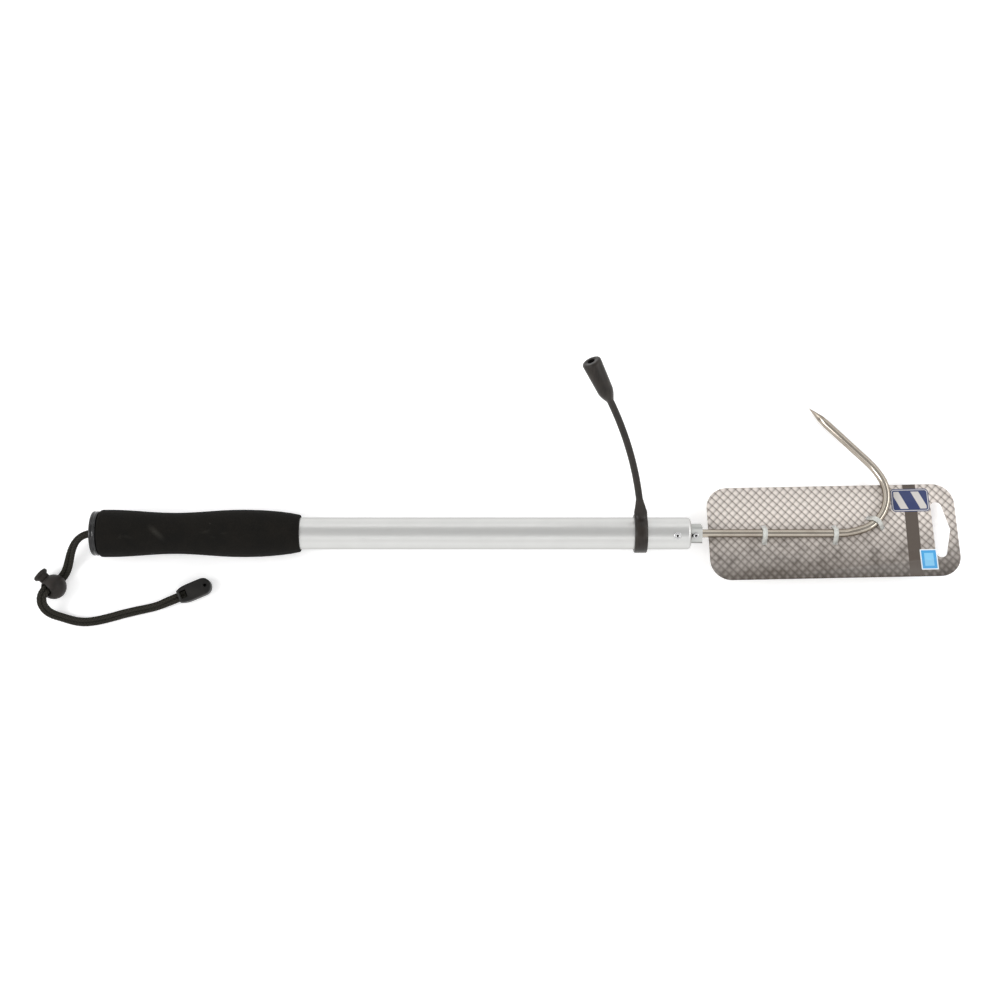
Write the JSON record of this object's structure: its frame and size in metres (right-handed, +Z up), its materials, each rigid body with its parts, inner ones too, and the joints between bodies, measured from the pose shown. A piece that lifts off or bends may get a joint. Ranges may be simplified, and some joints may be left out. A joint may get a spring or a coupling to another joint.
{
  "type": "telescopic landing gaff",
  "caption": "Collapsed landing gaff: square inner tube with a steel hook slides in a round handle with foam grip, sliding point guard and wrist lanyard; a display card is tied to the hook.",
  "frame": {"origin": "on the table, under the middle of the box round the gaff without its wrist lanyard", "axes": "+X along the tube from the butt to the hook, +Z up, +Y to the side on which the hook's point lies"},
  "size_m": [0.6941, 0.1793, 0.1187],
  "materials": {
    "outer_tube": "satin clear anodised",
    "inner_tube": "drawn, dull",
    "rivets": "plain",
    "hook": "polished stainless wire",
    "small_steel": "plain stainless",
    "grip": "fine closed-cell foam, matt black",
    "gloss_black": "moulded gloss black",
    "black_nylon": "moulded matt black",
    "point_guard": "moulded dark grey, satin",
    "lanyard": "fine black braid",
    "display_card": "printed, thin gloss coat",
    "ties": "translucent nylon"
  },
  "bodies": {
    "handle": {"outer_tube": "outer_tube", "grip": "grip", "butt_cap": "gloss_black", "guide_bush": "black_nylon", "bush_rivet": "rivets", "lanyard_knot": "lanyard", "lanyard_strand_a": "lanyard", "lanyard_strand_b": "lanyard", "cord_lock_body": "black_nylon", "cord_lock_spring": "small_steel", "cord_end_base": "gloss_black", "cord_end_lid": "gloss_black", "cord_end_knot": "lanyard"},
    "cord_lock_plunger": {"cord_lock_plunger": "black_nylon"},
    "extension": {"inner_tube": "inner_tube", "rear_slider": "black_nylon", "slider_pin": "small_steel", "hook_plug": "black_nylon", "plug_rivet": "rivets", "hook": "hook", "display_card": "display_card", "card_tie_1": "ties", "card_tie_2": "ties", "card_tie_3": "ties"},
    "guard": {"point_guard": "point_guard"}
  },
  "joints": [
    {"name": "extension_slide", "type": "slide", "parent": "handle", "child": "extension", "axis": [1, 0, 0], "range_m": [0, 0.38]},
    {"name": "guard_slide", "type": "slide", "parent": "handle", "child": "guard", "axis": [1, 0, 0], "range_m": [-0.249, 0.0185]},
    {"name": "cord_lock_press", "type": "slide", "parent": "handle", "child": "cord_lock_plunger", "axis": [0.7518, -0.6536, -0.0872], "range_m": [0, 0.0025], "stiffness_N_per_m": 400, "springref_m": -0.002, "deforming": ["cord_lock_spring"]}
  ]
}
